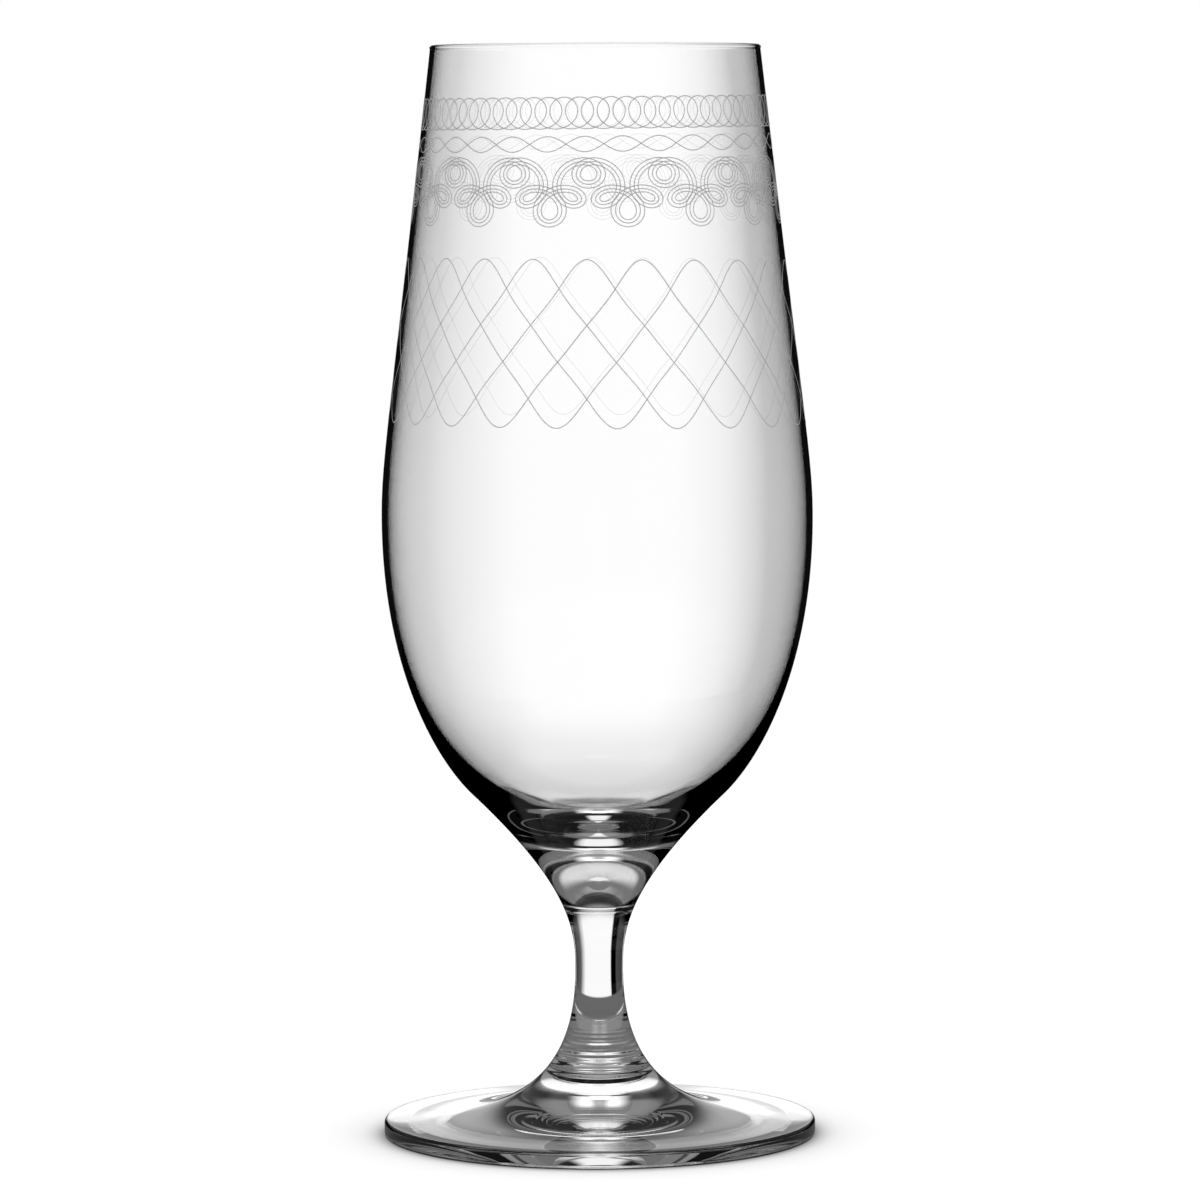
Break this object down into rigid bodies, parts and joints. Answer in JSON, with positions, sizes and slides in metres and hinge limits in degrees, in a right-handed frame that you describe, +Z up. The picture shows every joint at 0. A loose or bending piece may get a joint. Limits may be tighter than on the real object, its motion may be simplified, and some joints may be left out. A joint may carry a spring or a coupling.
{
  "type": "footed pilsner glass",
  "caption": "Clear stemmed beer glass: tall tulip bowl with a fire-polished lip and etched ornament bands, short waisted stem and round foot.",
  "frame": {"origin": "centre of the foot's underside, on the surface the glass stands on", "axes": "+Z up along the axis of the glass; the glass is turned, so X and Y are free"},
  "size_m": [0.0754, 0.0754, 0.19],
  "materials": {
    "clear_glass": "polished clear crystal",
    "etched_line": "fine needle-etched frosted line"
  },
  "bodies": {
    "root": {"bowl": "clear_glass", "stem": "clear_glass", "foot": "clear_glass"}
  },
  "joints": []
}
